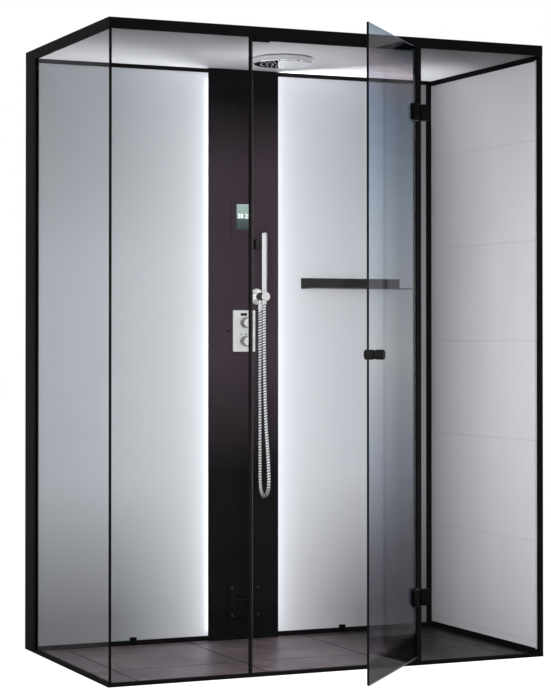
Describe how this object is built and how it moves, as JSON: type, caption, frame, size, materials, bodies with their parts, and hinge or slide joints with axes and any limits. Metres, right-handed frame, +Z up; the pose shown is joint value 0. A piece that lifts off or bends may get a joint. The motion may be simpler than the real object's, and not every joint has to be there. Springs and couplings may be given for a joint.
{
  "type": "steam shower cabin",
  "caption": "Free-standing rectangular steam shower cabin with clear glass front and side, an outward opening glass door, a tiled floor and a lit control column.",
  "frame": {"origin": "centre of the footprint on the room's floor", "axes": "+X to the right and +Y to the back as seen from the front, +Z up"},
  "size_m": [1.6, 1.3435, 2.13],
  "materials": {
    "black_profile": "black powder-coated aluminium profile, satin",
    "clear_glass": "clear toughened glass, polished edges",
    "white_glass": "white back-painted panel, glossy",
    "wall_board": "white moulded wall board with a low sheen",
    "ceiling": "white ceiling sheet, low sheen",
    "dark_glass": "dark brown back-painted glass, glossy",
    "stone_tile": "grey-brown stone-look tile, semi-gloss",
    "pan": "dark coated steel pan",
    "chrome": "polished chrome",
    "black_gloss": "glossy black",
    "satin_black": "satin black",
    "seal": "translucent grey soft plastic seal",
    "smoky_seal": "smoky translucent soft plastic seal",
    "black_rubber": "black rubber",
    "led_diffuser": "opal light diffuser",
    "grey_sheet": "grey coated steel sheet",
    "zinc_steel": "galvanised steel",
    "stainless": "brushed stainless steel",
    "brass": "plain brass",
    "hose_metal": "chrome spiral hose",
    "grey_plastic": "grey moulded plastic",
    "pex_pipe": "pale plastic pipe"
  },
  "bodies": {
    "cabin": {"base_frame": "black_profile", "base_pan": "pan", "floor_tiles": "stone_tile", "waste_flange": "stainless", "wall_rails": "black_profile", "back_panel_left": "white_glass", "back_panel_right": "white_glass", "corner_trim": "black_profile", "left_wall_channel": "black_profile", "panel_clips": "satin_black", "right_wall_panel": "wall_board", "glass_left_side": "clear_glass", "glass_front_left": "clear_glass", "glass_front_right": "clear_glass", "glass_corner_profile": "black_profile", "strike_post": "black_profile", "hinge_post": "black_profile", "right_front_post": "black_profile", "head_stop": "black_profile", "roof_frame": "black_profile", "ceiling_panel": "ceiling", "roof_cover": "grey_sheet", "overhead_body": "chrome", "overhead_face": "chrome", "column_front": "dark_glass", "column_carcass": "grey_sheet", "led_strips": "led_diffuser", "control_panel": "black_gloss", "temperature_sensor": "satin_black", "steam_outlet_cover": "satin_black", "steam_nozzle": "grey_plastic", "mixer_plate": "chrome", "mixer_body": "brass", "stick_buffer": "black_gloss", "shower_elbow": "chrome", "shower_hose": "hose_metal", "hose_wall_nut": "chrome", "shelf": "black_gloss", "rear_covers": "grey_sheet", "housing_side_cover": "black_profile", "uprights": "zinc_steel", "steam_generator": "stainless", "steam_pipe": "grey_plastic", "water_pipes": "pex_pipe", "control_box": "grey_plastic", "hinge_fixed_plates": "satin_black", "hinge_pins": "stainless", "strike_seal": "smoky_seal", "hinge_seal": "black_rubber"},
    "door": {"door_glass": "clear_glass", "door_edge_profile": "black_profile", "door_bottom_seal": "seal", "hinge_door_plates": "satin_black", "door_knobs": "satin_black"},
    "temperature_knob": {"knob_temperature": "chrome"},
    "flow_knob": {"knob_flow": "chrome"},
    "hand_shower": {"hand_shower": "chrome", "hose_cone_nut": "chrome"},
    "drain_cover": {"drain_cover": "stone_tile"}
  },
  "joints": [
    {"name": "door_hinge", "type": "hinge", "parent": "cabin", "child": "door", "pos_m": [0.309, -0.443, 0], "axis": [0, 0, 1], "range_deg": [-47.4, 42.6]},
    {"name": "temperature_turn", "type": "hinge", "parent": "cabin", "child": "temperature_knob", "pos_m": [-0.011, 0.303, 1.165], "axis": [0, -1, 0], "range_deg": [-90, 150]},
    {"name": "flow_turn", "type": "hinge", "parent": "cabin", "child": "flow_knob", "pos_m": [-0.011, 0.303, 1.097], "axis": [0, -1, 0], "range_deg": [-90, 90]},
    {"name": "hand_shower_lift", "type": "slide", "parent": "cabin", "child": "hand_shower", "axis": [0, 0, 1], "range_m": [0, 0.05]},
    {"name": "drain_cover_lift", "type": "slide", "parent": "cabin", "child": "drain_cover", "axis": [0, 0, 1], "range_m": [0, 0.03]}
  ]
}
